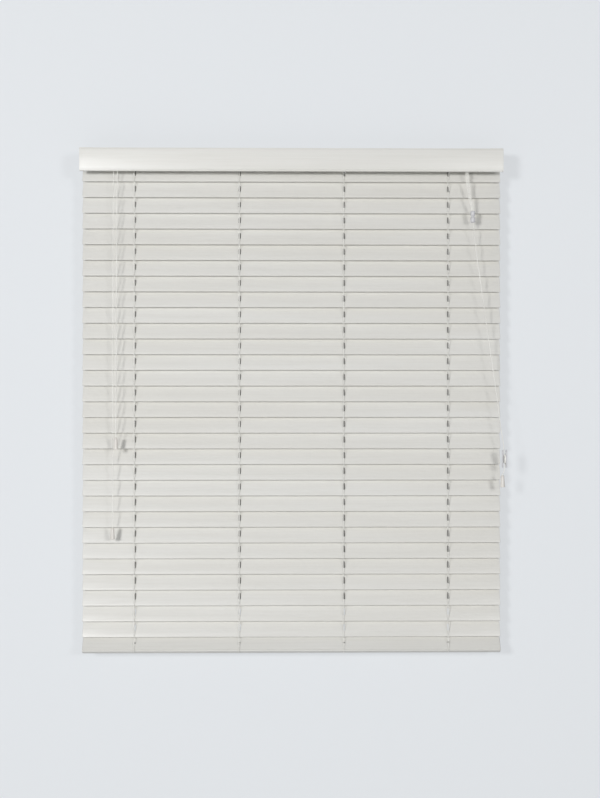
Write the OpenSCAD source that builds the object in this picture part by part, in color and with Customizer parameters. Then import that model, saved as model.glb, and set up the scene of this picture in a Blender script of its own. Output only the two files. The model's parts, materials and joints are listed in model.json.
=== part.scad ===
// Venetian blind with 50 mm slats, box brackets, corded tilter and corded lift.
// The origin is the middle of the bracket screws on the ceiling plane.
// X runs along the slats, the front faces -Y and the blind hangs down into -Z.

/* [Overall size] */
// Length of a slat
slat_length = 1172; // [900:2:1500]
// Number of slats
slat_count = 30; // [27:1:30]
// Height from one slat to the next on the ladders
slat_pitch = 44; // [36:0.5:53]
// Distance from a slat end to the first ladder
ladder_inset = 146; // [130:1:180]

/* [Slats] */
// Width of a slat from front edge to rear edge
slat_width = 50; // [41:0.5:54]
// Thickness of a slat
slat_thickness = 3; // [2.4:0.1:3.6]
// Slope of the closed slats, front edge down
slat_tilt = 70; // [66:1:72]
// Length of the hole that the lift cord passes, across the slat
rout_length = 20; // [16:0.5:24]
// Width of that hole, along the slat
rout_width = 6; // [5:0.5:7.5]
// How far that hole sits behind the middle of the slat
rout_offset = 1.5; // [0:0.1:1.5]

/* [Headrail] */
// Depth of the headrail channel from front to back
headrail_depth = 57; // [57:0.5:69]
// Height of the headrail channel
headrail_height = 38; // [38:0.5:46]
// Sheet thickness of the headrail
headrail_wall = 1; // [0.8:0.1:1.2]
// Width of the lips turned in along the top of the headrail
headrail_lip = 4; // [3:0.5:5]
// Height from the headrail's underside to the middle of the first slat
first_slat_gap = 27.4; // [27:0.1:32]

/* [Brackets] */
// Sheet thickness of the box brackets
bracket_wall = 1.2; // [1:0.1:1.4]
// Width of a box bracket along the headrail
bracket_width = 37; // [34:0.5:42]
// Diameter of the bracket screw holes
bracket_hole = 5; // [4:0.1:5.5]
// Distance between the front and rear screw of a bracket
bracket_hole_spacing = 30; // [26:0.5:32]

/* [Valance] */
// Height of the valance board
valance_height = 64; // [53:0.5:77]
// Thickness of the valance board
valance_thickness = 12; // [10:0.5:14]
// Gap between the headrail and the valance
valance_gap = 4.5; // [4.2:0.1:6]

/* [Bottom rail] */
// Width of the bottom rail
rail_width = 50; // [48:0.5:51]
// Thickness of the bottom rail
rail_thickness = 16; // [14:0.5:17]
// Slope of the bottom rail when the slats are closed
rail_tilt = 56; // [50:1:58]
// Diameter of the plugs under the bottom rail
plug_diameter = 14; // [12:0.5:16]
// Diameter of the plug bores in the bottom rail
plug_bore = 10; // [9:0.1:11]

/* [Tilt gear] */
// Width across the flats of the tilt rod
rod_flats = 6.4; // [6:0.1:6.6]
// Diameter of a ladder drum
drum_diameter = 18; // [16:0.5:18]
// Diameter of the drum and gear journals
journal_diameter = 10; // [9.6:0.1:10.4]
// Radial clearance of a journal in its bore
journal_clearance = 0.05; // [0.03:0.01:0.08]
// Turns of the worm for one turn of the tilt rod
worm_ratio = 14; // [12:1:16]
// Turn of the tilt rod from one closed end to the other
rod_turn = 130; // [128:1:132]
// Travel of a tilt cord from one closed end to the other
tilt_cord_travel = 250; // [230:5:260]

/* [Cords] */
// Diameter of the ladder cords
ladder_cord = 1.4; // [1.2:0.1:1.6]
// Diameter of the lift cords
lift_cord = 1.4; // [1.2:0.1:1.4]
// Diameter of the tilt cords and of the pull cord
hand_cord = 2; // [1.6:0.1:2.2]
// Height of a tassel
tassel_height = 33; // [28:0.5:38]
// Diameter of a tassel at its foot
tassel_diameter = 13; // [11:0.5:13.5]
// Height of the cord condenser
condenser_height = 32; // [28:0.5:34]
// Diameter of the cord condenser
condenser_diameter = 14; // [12:0.5:14.5]

/* [Cleat] */
// Height of the cord cleat
cleat_height = 50; // [46:1:56]
// Distance between the two cleat screws
cleat_hole_spacing = 12; // [10:0.5:13]
// Diameter of the cleat screw holes
cleat_hole = 4; // [3:0.1:4.2]

/* [Hidden] */
$fn = 48;

// Slats that the bottom rail gathers when it is lifted
gathered = 3;
first_gathered = slat_count - gathered + 1;
slat_nodes = [for (k = [1:slat_count]) str("slat_", k < 10 ? "0" : "", k)];
lift_nodes = [for (k = [first_gathered:slat_count]) str("lift_cord_", k)];

paint = [0.87, 0.86, 0.83];
cord_white = [0.90, 0.90, 0.88];
plastic = [0.84, 0.84, 0.82];
steel = [0.78, 0.79, 0.80];
cut = 1; // overshoot of a cut past the face it opens

// Heights
top_gap = 2;
headrail_bottom = -top_gap - headrail_height;
headrail_floor = headrail_bottom + headrail_wall;
rod_z = headrail_bottom + 23;
function slat_z(k) = headrail_bottom - first_slat_gap - (k - 1) * slat_pitch;
rail_z = slat_z(slat_count + 1);

// Places along the headrail
slat_end = slat_length / 2;
ladder_count = 4;
function ladder_x(i) = (slat_end - ladder_inset) * (2 * i / (ladder_count - 1) - 1);
headrail_end = slat_end + 2;
bracket_end = slat_end + 4;
tilter_x = 95.5 - slat_end;
lock_x = slat_end - 99;

// Front faces
headrail_front = -headrail_depth / 2;
valance_rear = headrail_front - valance_gap;

// ---------- shared shapes ----------

// A rectangle with rounded corners, centred
module rounded_rect(w, h, r) {
    square([w - 2 * r, h], center = true);
    square([w, h - 2 * r], center = true);
    for (x = [-1, 1], y = [-1, 1])
        translate([x * (w / 2 - r), y * (h / 2 - r)]) circle(r = r, $fn = 24);
}

// A bar along X from a section drawn in depth and height
module bar_x(length) {
    rotate([90, 0, 90]) linear_extrude(length, center = true) children();
}

// A box from two opposite corners
module box(a, b) {
    translate(a) cube(b - a);
}

module along_x(length, r) {
    rotate([0, 90, 0]) cylinder(h = length, r = r, center = true);
}

module along_y(length, r) {
    rotate([90, 0, 0]) cylinder(h = length, r = r, center = true);
}

function unit(v) = v / norm(v);
function tangent(path, i) =
    i == 0 ? unit(path[1] - path[0])
    : i == len(path) - 1 ? unit(path[i] - path[i - 1])
    : unit(unit(path[i] - path[i - 1]) + unit(path[i + 1] - path[i]));
// A vector square to the path, carried along it without twist
function normal(path, i) =
    let (t = tangent(path, i), v = i == 0 ? [0.6, 0.8, 0.1] : normal(path, i - 1))
    unit(v - (v * t) * t);

// A round cord along a path of points
module cord(path, diameter, sides = 8) {
    last = len(path) - 1;
    points = [
        for (i = [0:last])
            let (t = tangent(path, i), a = normal(path, i), b = cross(t, a))
            for (s = [0:sides - 1])
                path[i] + diameter / 2 * (cos(360 * s / sides) * a + sin(360 * s / sides) * b)
    ];
    walls = [
        for (i = [0:last - 1], s = [0:sides - 1])
            let (p = i * sides + s, q = i * sides + (s + 1) % sides)
            each [[p, p + sides, q + sides], [p, q + sides, q]]
    ];
    start = [for (s = [0:sides - 1]) s];
    end = [for (s = [sides - 1:-1:0]) last * sides + s];
    polyhedron(points = points, faces = concat(walls, [start, end]));
}

// ---------- slats and bottom rail ----------

// An oblong hole through a slat for the lift cord
module rout_hole() {
    straight = rout_length - rout_width;
    translate([0, rout_offset, 0]) {
        cube([rout_width, straight, slat_thickness + 2 * cut], center = true);
        for (y = [-1, 1])
            translate([0, y * straight / 2, 0])
                cylinder(h = slat_thickness + 2 * cut, d = rout_width, center = true);
    }
}

module slat(k) {
    edge = 1;
    color(paint)
        translate([0, 0, slat_z(k)]) rotate([slat_tilt, 0, 0])
            difference() {
                bar_x(slat_length) rounded_rect(slat_width, slat_thickness, edge);
                for (i = [0:ladder_count - 1]) translate([ladder_x(i), 0, 0]) rout_hole();
            }
}

// Puts its children in the tilted frame of the bottom rail
module on_rail() {
    translate([0, 0, rail_z]) rotate([rail_tilt, 0, 0]) children();
}

cord_bore = 5;
plug_depth = 9;

module bottom_rail() {
    edge = 3;
    color(paint) on_rail()
        difference() {
            bar_x(slat_length) rounded_rect(rail_width, rail_thickness, edge);
            for (i = [0:ladder_count - 1]) translate([ladder_x(i), 0, 0]) {
                cylinder(h = rail_thickness + 2 * cut, d = cord_bore, center = true);
                translate([0, 0, -rail_thickness / 2 - cut])
                    cylinder(h = plug_depth + cut, d = plug_bore);
            }
        }
}

module rail_plug() {
    flange = 1.5;
    rotate_extrude() difference() {
        union() {
            translate([1.5, -flange]) square([plug_diameter / 2 - 1.5, flange]);
            translate([1.5, 0]) square([plug_bore / 2 - 0.05 - 1.5, plug_depth - 2]);
        }
        // hollow that takes the knot
        translate([0, 2]) square([plug_bore / 2 - 1.2, plug_depth]);
    }
}

module rail_plugs() {
    color(plastic) on_rail()
        for (i = [0:ladder_count - 1])
            translate([ladder_x(i), 0, -rail_thickness / 2]) rail_plug();
}

// ---------- headrail, brackets and valance ----------

// Slots that the tilt cords and the lift cords leave through
tilt_slot = [21, 8];
lift_slot = [12, 6];
cord_exit_y = headrail_front + 5;

module headrail() {
    inner = headrail_depth - 2 * headrail_wall;
    color(steel) difference() {
        translate([0, 0, headrail_bottom + headrail_height / 2])
            bar_x(2 * headrail_end) difference() {
                square([headrail_depth, headrail_height], center = true);
                translate([0, headrail_wall])
                    square([inner, headrail_height], center = true);
                }
        for (i = [0:ladder_count - 1]) translate([ladder_x(i), 0, headrail_bottom])
            cube([10, 40, 4 * headrail_wall], center = true);
        translate([tilter_x, cord_exit_y, headrail_bottom])
            cube([tilt_slot.x, tilt_slot.y, 4 * headrail_wall], center = true);
        translate([lock_x, cord_exit_y, headrail_bottom])
            cube([lift_slot.x, lift_slot.y, 4 * headrail_wall], center = true);
    }
    color(steel) for (side = [-1, 1])
        translate([0, side * (headrail_depth - headrail_lip) / 2, -top_gap - headrail_wall / 2])
            cube([2 * headrail_end, headrail_lip, headrail_wall], center = true);
}

bracket_rear = headrail_depth / 2 + 0.3 + bracket_wall;
bracket_front = headrail_front - 0.5;
bracket_mid = bracket_end - bracket_width / 2;

// One box bracket, drawn for the right end
module bracket() {
    inner = bracket_end - bracket_width;
    low = headrail_bottom - bracket_wall;
    difference() {
        union() {
            box([inner, bracket_front, -bracket_wall], [bracket_end, bracket_rear, 0]);
            box([inner, bracket_front, low], [bracket_end, bracket_rear, headrail_bottom]);
            box([inner, bracket_rear - bracket_wall, low], [bracket_end, bracket_rear, 0]);
            box([bracket_end - bracket_wall, bracket_front, low], [bracket_end, bracket_rear, 0]);
        }
        for (y = [-1, 1])
            translate([bracket_mid, y * bracket_hole_spacing / 2, -bracket_wall / 2])
                cylinder(h = bracket_wall + 2 * cut, d = bracket_hole, center = true);
    }
}

module mounting_brackets() {
    color(steel) {
        bracket();
        mirror([1, 0, 0]) bracket();
    }
}

// The door that closes the front of a box bracket
module cover() {
    low = headrail_bottom - bracket_wall;
    door = 1;
    box([bracket_end - bracket_width, bracket_front - door, low], [bracket_end, bracket_front, 0]);
    // finger bead
    translate([bracket_mid, bracket_front - door, headrail_bottom / 2])
        rotate([0, 90, 0]) cylinder(h = bracket_width / 2, r = 0.8, center = true);
}

module bracket_covers() {
    color(plastic) {
        cover();
        mirror([1, 0, 0]) cover();
    }
}

valance_top = -3;

// Section of the valance: flat face, moulded top and foot
module valance_section() {
    step = 1.5;
    mould = 7;
    translate([(valance_thickness + step) / 2, 0])
        rounded_rect(valance_thickness - step, valance_height, 2);
    translate([valance_thickness / 2, 0])
        rounded_rect(valance_thickness, valance_height - mould, 1.5);
}

module valance() {
    color(paint)
        translate([0, valance_rear - valance_thickness, valance_top - valance_height / 2])
            bar_x(slat_length + 6) valance_section();
}

clip_count = 4;
function clip_x(i) = (slat_end - 60) * (2 * i / (clip_count - 1) - 1);

// A spring clip between the headrail and the valance
module valance_clip() {
    width = 24;
    sheet = 1.5;
    top = -top_gap;
    translate([-width / 2, 0, 0]) {
        // plate down the front of the headrail
        box([0, headrail_front - sheet, headrail_bottom + 4], [width, headrail_front, top + sheet]);
        // hook over the lip of the headrail
        box([0, headrail_front - sheet, top], [width, headrail_front + 7, top + sheet]);
        // pad against the valance
        box([3, valance_rear, headrail_bottom + 8], [width - 3, headrail_front - sheet, top - 8]);
    }
}

module valance_clips() {
    color(plastic) for (i = [0:clip_count - 1]) translate([clip_x(i), 0, 0]) valance_clip();
}

// ---------- tilt gear ----------

drum_length = 18;
web = 2;
drum_gap = 0.6;

// A saddle in the headrail that carries one ladder drum
module ladder_cradle() {
    base = 2;
    foot_y = 24;
    web_y = 9;
    web_x = drum_length / 2 + drum_gap;
    difference() {
        union() {
            box([-14, -foot_y, headrail_floor], [14, foot_y, headrail_floor + base]);
            for (side = [0, 1]) mirror([side, 0, 0])
                box([web_x, -web_y, headrail_floor], [web_x + web, web_y, rod_z + 7.5]);
        }
        translate([0, 0, rod_z]) along_x(40, journal_diameter / 2 + journal_clearance);
        for (y = [-14, 0, 14]) translate([0, y, headrail_floor])
            cube([8, 9, 4 * base], center = true);
    }
}

module ladder_cradles() {
    color(plastic) for (i = [0:ladder_count - 1]) translate([ladder_x(i), 0, 0]) ladder_cradle();
}

rod_radius = rod_flats / 2 / cos(30);
rod_bore_gap = 0.1;

// A hexagonal bore that slides over the tilt rod
module rod_bore(length) {
    rotate([0, 90, 0]) cylinder(h = length, r = rod_radius + rod_bore_gap, center = true, $fn = 6);
}

module ladder_drum() {
    groove = 1.5;
    difference() {
        union() {
            along_x(drum_length, drum_diameter / 2 - groove);
            for (x = [-1, 0, 1]) translate([x * (drum_length - 2) / 2, 0, 0])
                along_x(2, drum_diameter / 2);
            along_x(drum_length + 2 * (drum_gap + web), journal_diameter / 2);
        }
        rod_bore(drum_length + 10);
    }
}

module ladder_drums() {
    color(plastic)
        for (i = [0:ladder_count - 1]) translate([ladder_x(i), 0, rod_z]) ladder_drum();
}

module tilt_rod() {
    left = tilter_x - 24;
    right = ladder_x(ladder_count - 1) + 20;
    color(steel) translate([(left + right) / 2, 0, rod_z])
        rotate([0, 90, 0]) cylinder(h = right - left, r = rod_radius, center = true, $fn = 6);
}

gear_radius = 6.2;
worm_radius = 4;
worm_z = rod_z - gear_radius - worm_radius - 0.3;
shaft_radius = 2;
tilter_half = 20;
tilter_front = headrail_front + headrail_wall + 0.5;
tilter_rear = 13;
tilter_wall = 2;
tilter_floor = headrail_floor + 0.1;
pulley_front = tilter_front + tilter_wall + 0.5;
pulley_width = 9;
pulley_divider = pulley_front + pulley_width + 0.5;
pulley_groove = tilt_cord_travel / (worm_ratio * rod_turn * PI / 180);
pulley_flange = pulley_groove + 1.1;
pulley_y = pulley_front + pulley_width / 2;

module tilter_housing() {
    top = rod_z + 10;
    color(plastic) translate([tilter_x, 0, 0]) difference() {
        box([-tilter_half, tilter_front, tilter_floor], [tilter_half, tilter_rear, top]);
        // pulley chamber and gear chamber, open at the top
        box([tilter_wall - tilter_half, tilter_front + tilter_wall, tilter_floor + tilter_wall],
            [tilter_half - tilter_wall, pulley_divider, top + cut]);
        box([tilter_wall - tilter_half, pulley_divider + tilter_wall, tilter_floor + tilter_wall],
            [tilter_half - tilter_wall, tilter_rear - tilter_wall, top + cut]);
        translate([0, (tilter_front + tilter_rear) / 2, worm_z])
            along_y(60, shaft_radius + journal_clearance);
        translate([0, 0, rod_z]) along_x(60, journal_diameter / 2 + journal_clearance);
        // cord guide
        translate([0, cord_exit_y, tilter_floor])
            cube([tilt_slot.x, 2 * tilt_slot.y, 4 * tilter_wall], center = true);
    }
}

module tilter_worm() {
    front = tilter_front + 0.2;
    rear = tilter_rear - 0.2;
    thread_front = pulley_divider + tilter_wall + 0.6;
    thread_rear = tilter_rear - tilter_wall - 0.6;
    thread_pitch = 2.5;
    threads = floor((thread_rear - thread_front) / thread_pitch);
    color(plastic) translate([tilter_x, 0, worm_z]) rotate([-90, 0, 0]) {
        translate([0, 0, front]) cylinder(h = rear - front, r = shaft_radius);
        translate([0, 0, thread_front])
            cylinder(h = thread_rear - thread_front, r = worm_radius - 0.9);
        for (i = [0:threads - 1]) translate([0, 0, thread_front + i * thread_pitch])
            cylinder(h = thread_pitch / 2, r = worm_radius);
        translate([0, 0, pulley_front]) {
            cylinder(h = pulley_width, r = pulley_groove);
            for (z = [0, (pulley_width - 1) / 2, pulley_width - 1]) translate([0, 0, z])
                cylinder(h = 1, r = pulley_flange);
        }
    }
}

module worm_gear() {
    teeth = 14;
    tooth = 1.1;
    face = 8;
    color(plastic) translate([tilter_x, 0, rod_z]) difference() {
        union() {
            along_x(face, gear_radius - tooth);
            for (t = [0:teeth - 1]) rotate([(t + 0.5) * 360 / teeth, 0, 0])
                translate([0, 0, gear_radius - tooth]) cube([face, 1.4, 2 * tooth - 0.1], center = true);
            along_x(2 * tilter_half, journal_diameter / 2);
        }
        rod_bore(4 * tilter_half);
    }
}

// ---------- cord lock ----------

lock_half = 12;
lock_front = tilter_front;
lock_rear = lock_front + 20;
lock_wall = 2;
lock_floor = tilter_floor;
lock_top = lock_floor + 26;
lift_run_z = headrail_floor + 6;
bar_radius = 2;
roller_radius = 3.5;
roller_pin = 1.5;
roller_travel = 5;
roller_slope = 30;
// Middle of the roller when it is down on the cords
roller_place = [lock_x, lock_rear - 9, lift_run_z + lift_cord / 2 + roller_radius + 0.3];

// Puts its children where the locking roller is, after it has slid by some travel
module at_roller(travel) {
    translate(roller_place + travel * [0, sin(roller_slope), cos(roller_slope)]) children();
}

module cord_lock_housing() {
    gap = 0.3;
    color(plastic) difference() {
        box([lock_x - lock_half, lock_front, lock_floor], [lock_x + lock_half, lock_rear, lock_top]);
        box([lock_x - lock_half + lock_wall, lock_front + lock_wall, lock_floor + lock_wall],
            [lock_x + lock_half - lock_wall, lock_rear - lock_wall, lock_top - lock_wall]);
        // window at the rear where the lift cords come in
        box([lock_x - 6, lock_rear - 2 * lock_wall, lift_run_z - 2.5],
            [lock_x + 6, lock_rear + cut, lift_run_z + 2.5]);
        // mouth where they go out
        translate([lock_x, cord_exit_y, lock_floor]) cube([11, 4, 4 * lock_wall], center = true);
        // slanted slots for the roller pin
        for (travel = [0, roller_travel])
            at_roller(travel) along_x(3 * lock_half, roller_pin + gap);
        at_roller(roller_travel / 2) rotate([-roller_slope, 0, 0])
            cube([3 * lock_half, 2 * (roller_pin + gap), roller_travel], center = true);
    }
    // fixed bar that the cords run over
    color(plastic)
        translate([lock_x, cord_exit_y + 4, lift_run_z - lift_cord / 2 - bar_radius - 0.2])
            along_x(2 * lock_half - lock_wall, bar_radius);
}

module cord_lock_roller() {
    ribs = 16;
    length = 2 * (lock_half - lock_wall) - 1;
    color(steel) at_roller(0) {
        along_x(length, roller_radius - 0.4);
        for (i = [0:ribs - 1]) rotate([i * 360 / ribs, 0, 0])
            translate([0, 0, roller_radius - 0.5]) cube([length, 0.7, 1], center = true);
        along_x(2 * lock_half - 0.4, roller_pin);
    }
}

// ---------- ladders ----------

// The ladder cords lie this far from the middle of the slats at the closed end
ladder_gap = 0.6;
ladder_reach = slat_width / 2 * cos(slat_tilt) + slat_thickness / 2 * sin(slat_tilt)
    + ladder_cord / 2 + ladder_gap;
rail_reach = rail_width / 2 * cos(rail_tilt) + rail_thickness / 2 * sin(rail_tilt)
    + ladder_cord / 2 + 0.6;
// Height of the rail corner that a ladder cord ends at
rail_corner = rail_width / 2 * sin(rail_tilt) - rail_thickness / 2 * cos(rail_tilt);

// The four cords along one edge of the slats: side is -1 at the front and 1 at the rear
module ladder(side, offset) {
    color(cord_white) for (i = [0:ladder_count - 1]) {
        x = ladder_x(i) + offset;
        leave = slat_z(slat_count) + side * slat_width / 2;
        cord([[x, side * ladder_reach, rod_z - 3], [x, side * ladder_reach, leave],
              [x, side * rail_reach, rail_z + side * rail_corner]], ladder_cord);
    }
}

// ---------- lift cords ----------

function lift_lane(i) = 20.5 - 2.5 * i;
function between(k) = slat_z(k) - slat_pitch / 2;
// Gap between two stretches of a lift cord that travel apart
stretch_gap = 0.6;
condenser_x = lock_x + 17.5;
condenser_y = headrail_front - 6.5;
condenser_top = -176;

// From the last fixed slat up through the headrail, the lock and down to the condenser
module lift_cords() {
    color(cord_white) for (i = [0:ladder_count - 1]) {
        x = ladder_x(i);
        exit_x = lock_x + 3.6 - 2.4 * i;
        cord([
            [x, 0, between(first_gathered - 1)],
            [x, 0, headrail_floor + 3],
            [x, 4, lift_run_z],
            [x, lift_lane(i) - 3, lift_run_z],
            [x + 3, lift_lane(i), lift_run_z],
            [exit_x - 3, lift_lane(i), lift_run_z],
            [exit_x, lift_lane(i) - 3, lift_run_z],
            [exit_x, cord_exit_y + 3, lift_run_z],
            [exit_x, cord_exit_y + 0.4, lift_run_z - 3],
            [exit_x, cord_exit_y, headrail_bottom - 1],
            [exit_x + 2, condenser_y + 5.5, valance_top - valance_height],
            [condenser_x + 2.7 - 1.8 * i, condenser_y, condenser_top - 4]
        ], lift_cord);
    }
}

// The stretch of the four lift cords that travels with one gathered slat
module lift_cord_stretch(k) {
    color(cord_white) for (i = [0:ladder_count - 1])
        translate([ladder_x(i), 0, between(k) + stretch_gap / 2])
            cylinder(h = slat_pitch - stretch_gap, d = lift_cord);
}

// The ends of the lift cords, knotted in the plugs of the bottom rail
module lift_cord_ends() {
    drop = [0, sin(rail_tilt), -cos(rail_tilt)];
    entry = -rail_thickness / 2 - 1;
    color(cord_white) for (i = [0:ladder_count - 1]) {
        middle = [ladder_x(i), 0, rail_z];
        knot = middle + drop * (rail_thickness / 2 - 4.5);
        cord([[ladder_x(i), 0, between(slat_count) - stretch_gap], middle + drop * entry, knot], lift_cord);
        translate(knot) sphere(d = 4, $fn = 24);
    }
}

// ---------- hand cords ----------

// The two tilt tassels pass each other with this much room
tassel_pass = 0.6;
tassel_apart = 10.25;
tassel_ahead = sqrt(pow(tassel_diameter + tassel_pass, 2) - pow(tassel_apart, 2));
tassel_y = condenser_y + 1;
tassel_left = [tilter_x - 7.75, tassel_y, -1057];
tassel_right = [tilter_x - 7.75 + tassel_apart, tassel_y - tassel_ahead, -807];
tassel_pull = [slat_end - 1, -50, -912];
under_valance = valance_top - valance_height;

// One tilt cord from its groove of the pulley out of the headrail and down to its tassel
module tilt_cord(side, lean, place) {
    wind = pulley_groove + hand_cord / 2 + 0.2;
    groove = pulley_y + 2 * side;
    exit = tilter_x + 5.5 * side;
    cord([[tilter_x + wind * side, groove, worm_z], [tilter_x + wind * side, groove, worm_z - 7],
          [exit + side, (groove + cord_exit_y) / 2, tilter_floor], [exit, cord_exit_y, headrail_bottom - 1],
          [exit, tassel_y + 4, under_valance], [exit + lean, tassel_y + 1, -160], place + [0, 0, 4], place],
         hand_cord);
}

module tilt_cords() {
    color(cord_white) {
        tilt_cord(-1, -0.5, tassel_left);
        tilt_cord(1, -1.5, tassel_right);
    }
}

// A flared tassel that hangs below a point
module tassel(place) {
    foot = tassel_diameter / 2;
    neck = 4.5;
    color(plastic) translate([place.x, place.y, place.z - tassel_height])
        rotate_extrude() difference() {
            polygon([[0, 0], [foot - 0.8, 0], [foot, 0.8], [neck, tassel_height - 1.5],
                     [neck - 1.5, tassel_height], [0, tassel_height]]);
            // hollow for the knot
            translate([0, -cut]) square([foot - 2, 14 + cut]);
        }
}

// A barrel in two halves that joins the lift cords to the pull cord
module cord_condenser() {
    radius = condenser_diameter / 2;
    lobe = condenser_height / 2 - 1.5;
    low = condenser_top - condenser_height;
    color(plastic) translate([condenser_x, condenser_y, low]) difference() {
        union() {
            for (z = [0, condenser_height - lobe]) translate([0, 0, z])
                rotate_extrude() polygon([[0, 0], [radius - 1.2, 0], [radius, 1.6],
                    [radius, lobe - 1.6], [radius - 1.2, lobe], [0, lobe]]);
            translate([0, 0, lobe - cut]) cylinder(h = 3 + 2 * cut, r = radius - 1.6);
        }
        // hollow for the knots, and the hole of the pull cord
        translate([0, 0, 6]) cylinder(h = condenser_height, r = 4.4);
        translate([0, 0, -cut]) cylinder(h = 20, d = hand_cord + 0.6);
    }
}

cleat_x = slat_end + 11;
cleat_y = -50;
cleat_z = -866;
neck_z = 20;
winding_reach = 15;
winding_x = cleat_x - 6.5;

// Route of the pull cord from the condenser to the cleat, counted in X from the slat ends
pull_route = [[-80, -35, -216], [-74, -36, -266], [-69, -37, -311], [-42, -42, -507], [-15, -46, -703],
              [-9, -48, -755], [-3, -49, -797], [2, -50, -826], [4.5, -50, -842]];
// Route of its tail from the cleat to the tassel
tail_route = [[4.5, -50, -894], [2, -50, -904]];

// From the condenser to the cleat, and from the cleat to its tassel
module pull_cord() {
    condenser_foot = [condenser_x, condenser_y, condenser_top - condenser_height];
    color(cord_white) {
        cord(concat([condenser_foot + [0, 0, 5], condenser_foot - [0, 0, 2]], [for (p = pull_route) p + [slat_end, 0, 0]],
             [[winding_x, cleat_y, cleat_z + winding_reach]]), hand_cord);
        cord(concat([[winding_x, cleat_y, cleat_z - winding_reach]],
             [for (p = tail_route) p + [slat_end, 0, 0]], [tassel_pull + [0, 0, 3], tassel_pull]),
             hand_cord);
    }
}

// The turns of the pull cord around the neck of the cleat
module cleat_winding() {
    color(cord_white) translate([winding_x, cleat_y, cleat_z]) rotate([0, 90, 0])
        linear_extrude(5.2, center = true) difference() {
            rounded_rect(2 * winding_reach, 15, 7);
            rounded_rect(neck_z + 1, 9, 3);
        }
}

// A two-horned cleat on the wall beside the blind
module cord_cleat() {
    base = 3;
    neck = 6.5;
    horn = 4;
    color(plastic) translate([cleat_x, cleat_y, cleat_z]) rotate([0, -90, 0]) difference() {
        union() {
            linear_extrude(base) rounded_rect(cleat_height, 12, 5.9);
            linear_extrude(base + neck) rounded_rect(neck_z, 8, 3);
            translate([0, 0, base + neck]) linear_extrude(horn) rounded_rect(cleat_height, 8, 3.9);
        }
        for (z = [-1, 1]) translate([z * cleat_hole_spacing / 2, 0, -cut]) {
            cylinder(h = 20, d = cleat_hole);
            translate([0, 0, base + neck + horn + cut - 2]) cylinder(h = 2 + cut, d1 = cleat_hole, d2 = 7);
        }
    }
}

headrail();
mounting_brackets();
bracket_covers();
valance();
valance_clips();
ladder_cradles();
ladder_drums();
tilt_rod();
tilter_housing();
tilter_worm();
worm_gear();
cord_lock_housing();
cord_lock_roller();
ladder(-1, -1);  // ladder_front
ladder(1, -2);  // ladder_rear
lift_cords();
for (k = [first_gathered:slat_count])
    lift_cord_stretch(k);
lift_cord_ends();
bottom_rail();
rail_plugs();
tilt_cords();
tassel(tassel_left);  // tilt_tassel_left
tassel(tassel_right);  // tilt_tassel_right
cord_condenser();
pull_cord();
cleat_winding();
tassel(tassel_pull);  // pull_tassel
cord_cleat();
for (k = [1:slat_count])
    slat(k);
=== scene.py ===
"""Looks of a venetian blind: boards, headrail, gear, cord ladders, hand cords and the stage.

Lengths are in metres. X runs along the slats, the room is at -Y and the blind hangs into -Z.
"""

import json
import math

import bpy
from mathutils import Matrix, Vector


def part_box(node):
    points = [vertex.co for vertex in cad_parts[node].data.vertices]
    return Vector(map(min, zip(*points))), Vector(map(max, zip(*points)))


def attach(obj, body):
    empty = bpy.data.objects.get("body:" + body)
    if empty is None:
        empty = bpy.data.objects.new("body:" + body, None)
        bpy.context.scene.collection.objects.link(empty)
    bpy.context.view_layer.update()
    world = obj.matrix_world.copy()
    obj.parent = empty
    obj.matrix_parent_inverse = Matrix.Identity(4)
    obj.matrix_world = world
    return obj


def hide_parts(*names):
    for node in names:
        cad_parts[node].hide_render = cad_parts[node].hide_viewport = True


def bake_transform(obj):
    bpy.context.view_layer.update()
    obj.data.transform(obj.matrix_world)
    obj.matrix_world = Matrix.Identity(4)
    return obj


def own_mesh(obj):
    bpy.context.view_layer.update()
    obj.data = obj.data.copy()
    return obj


bl_info = {
    "name": "Venetian Blind",
    "version": (1, 0, 0),
    "blender": (4, 5, 0),
    "location": "View3D > Sidebar > Blind",
    "description": "Builds the boards, cords, gear and finishes of a venetian blind",
    "category": "Add Mesh",
}

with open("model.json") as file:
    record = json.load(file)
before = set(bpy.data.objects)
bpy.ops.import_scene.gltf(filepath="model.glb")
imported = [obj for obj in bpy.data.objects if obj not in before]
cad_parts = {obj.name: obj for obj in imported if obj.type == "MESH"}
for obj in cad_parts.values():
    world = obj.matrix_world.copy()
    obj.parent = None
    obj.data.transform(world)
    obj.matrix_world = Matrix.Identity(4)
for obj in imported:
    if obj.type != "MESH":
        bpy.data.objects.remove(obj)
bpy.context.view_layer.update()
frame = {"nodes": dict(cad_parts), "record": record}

# ---------- sizes taken from the frame ----------

BODY_OF = {node: body for body, nodes in frame["record"]["behaviour"]["bodies"].items() for node in nodes}
TRAVEL = {joint["name"]: joint for joint in frame["record"]["behaviour"]["joints"]}
FIXED = BODY_OF["headrail"]


def middle(node):
    """The middle of a CAD node's box."""
    low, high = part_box(node)
    return (low + high) / 2


SLATS = sorted(name for name in frame["nodes"] if name.startswith("slat_"))
SLAT_Z = [middle(name).z for name in SLATS]
PITCH = SLAT_Z[0] - SLAT_Z[1]
SLAT_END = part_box("slat_01")[1].x
RAIL_Z = SLAT_Z[-1] - PITCH
LADDER_REACH = SLAT_END - 0.146
LADDERS = [LADDER_REACH * (2 * i / 3 - 1) for i in range(4)]
GATHERED = len([name for name in frame["nodes"] if name.startswith("lift_cord_") and name[-1].isdigit()])
SLAT_WIDTH = 0.050
SLAT_THICK = 0.003
SLAT_TILT = math.radians(70)
ROUT_LENGTH, ROUT_WIDTH, ROUT_OFFSET = 0.020, 0.006, 0.0015
RAIL_THICK = 0.016
RAIL_TILT = math.radians(56)
ROD_Z = middle("tilt_rod").z
TILTER_X = middle("tilter_worm").x
WORM_Z = middle("tilter_worm").z
LOCK_X = middle("cord_lock_housing").x
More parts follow.
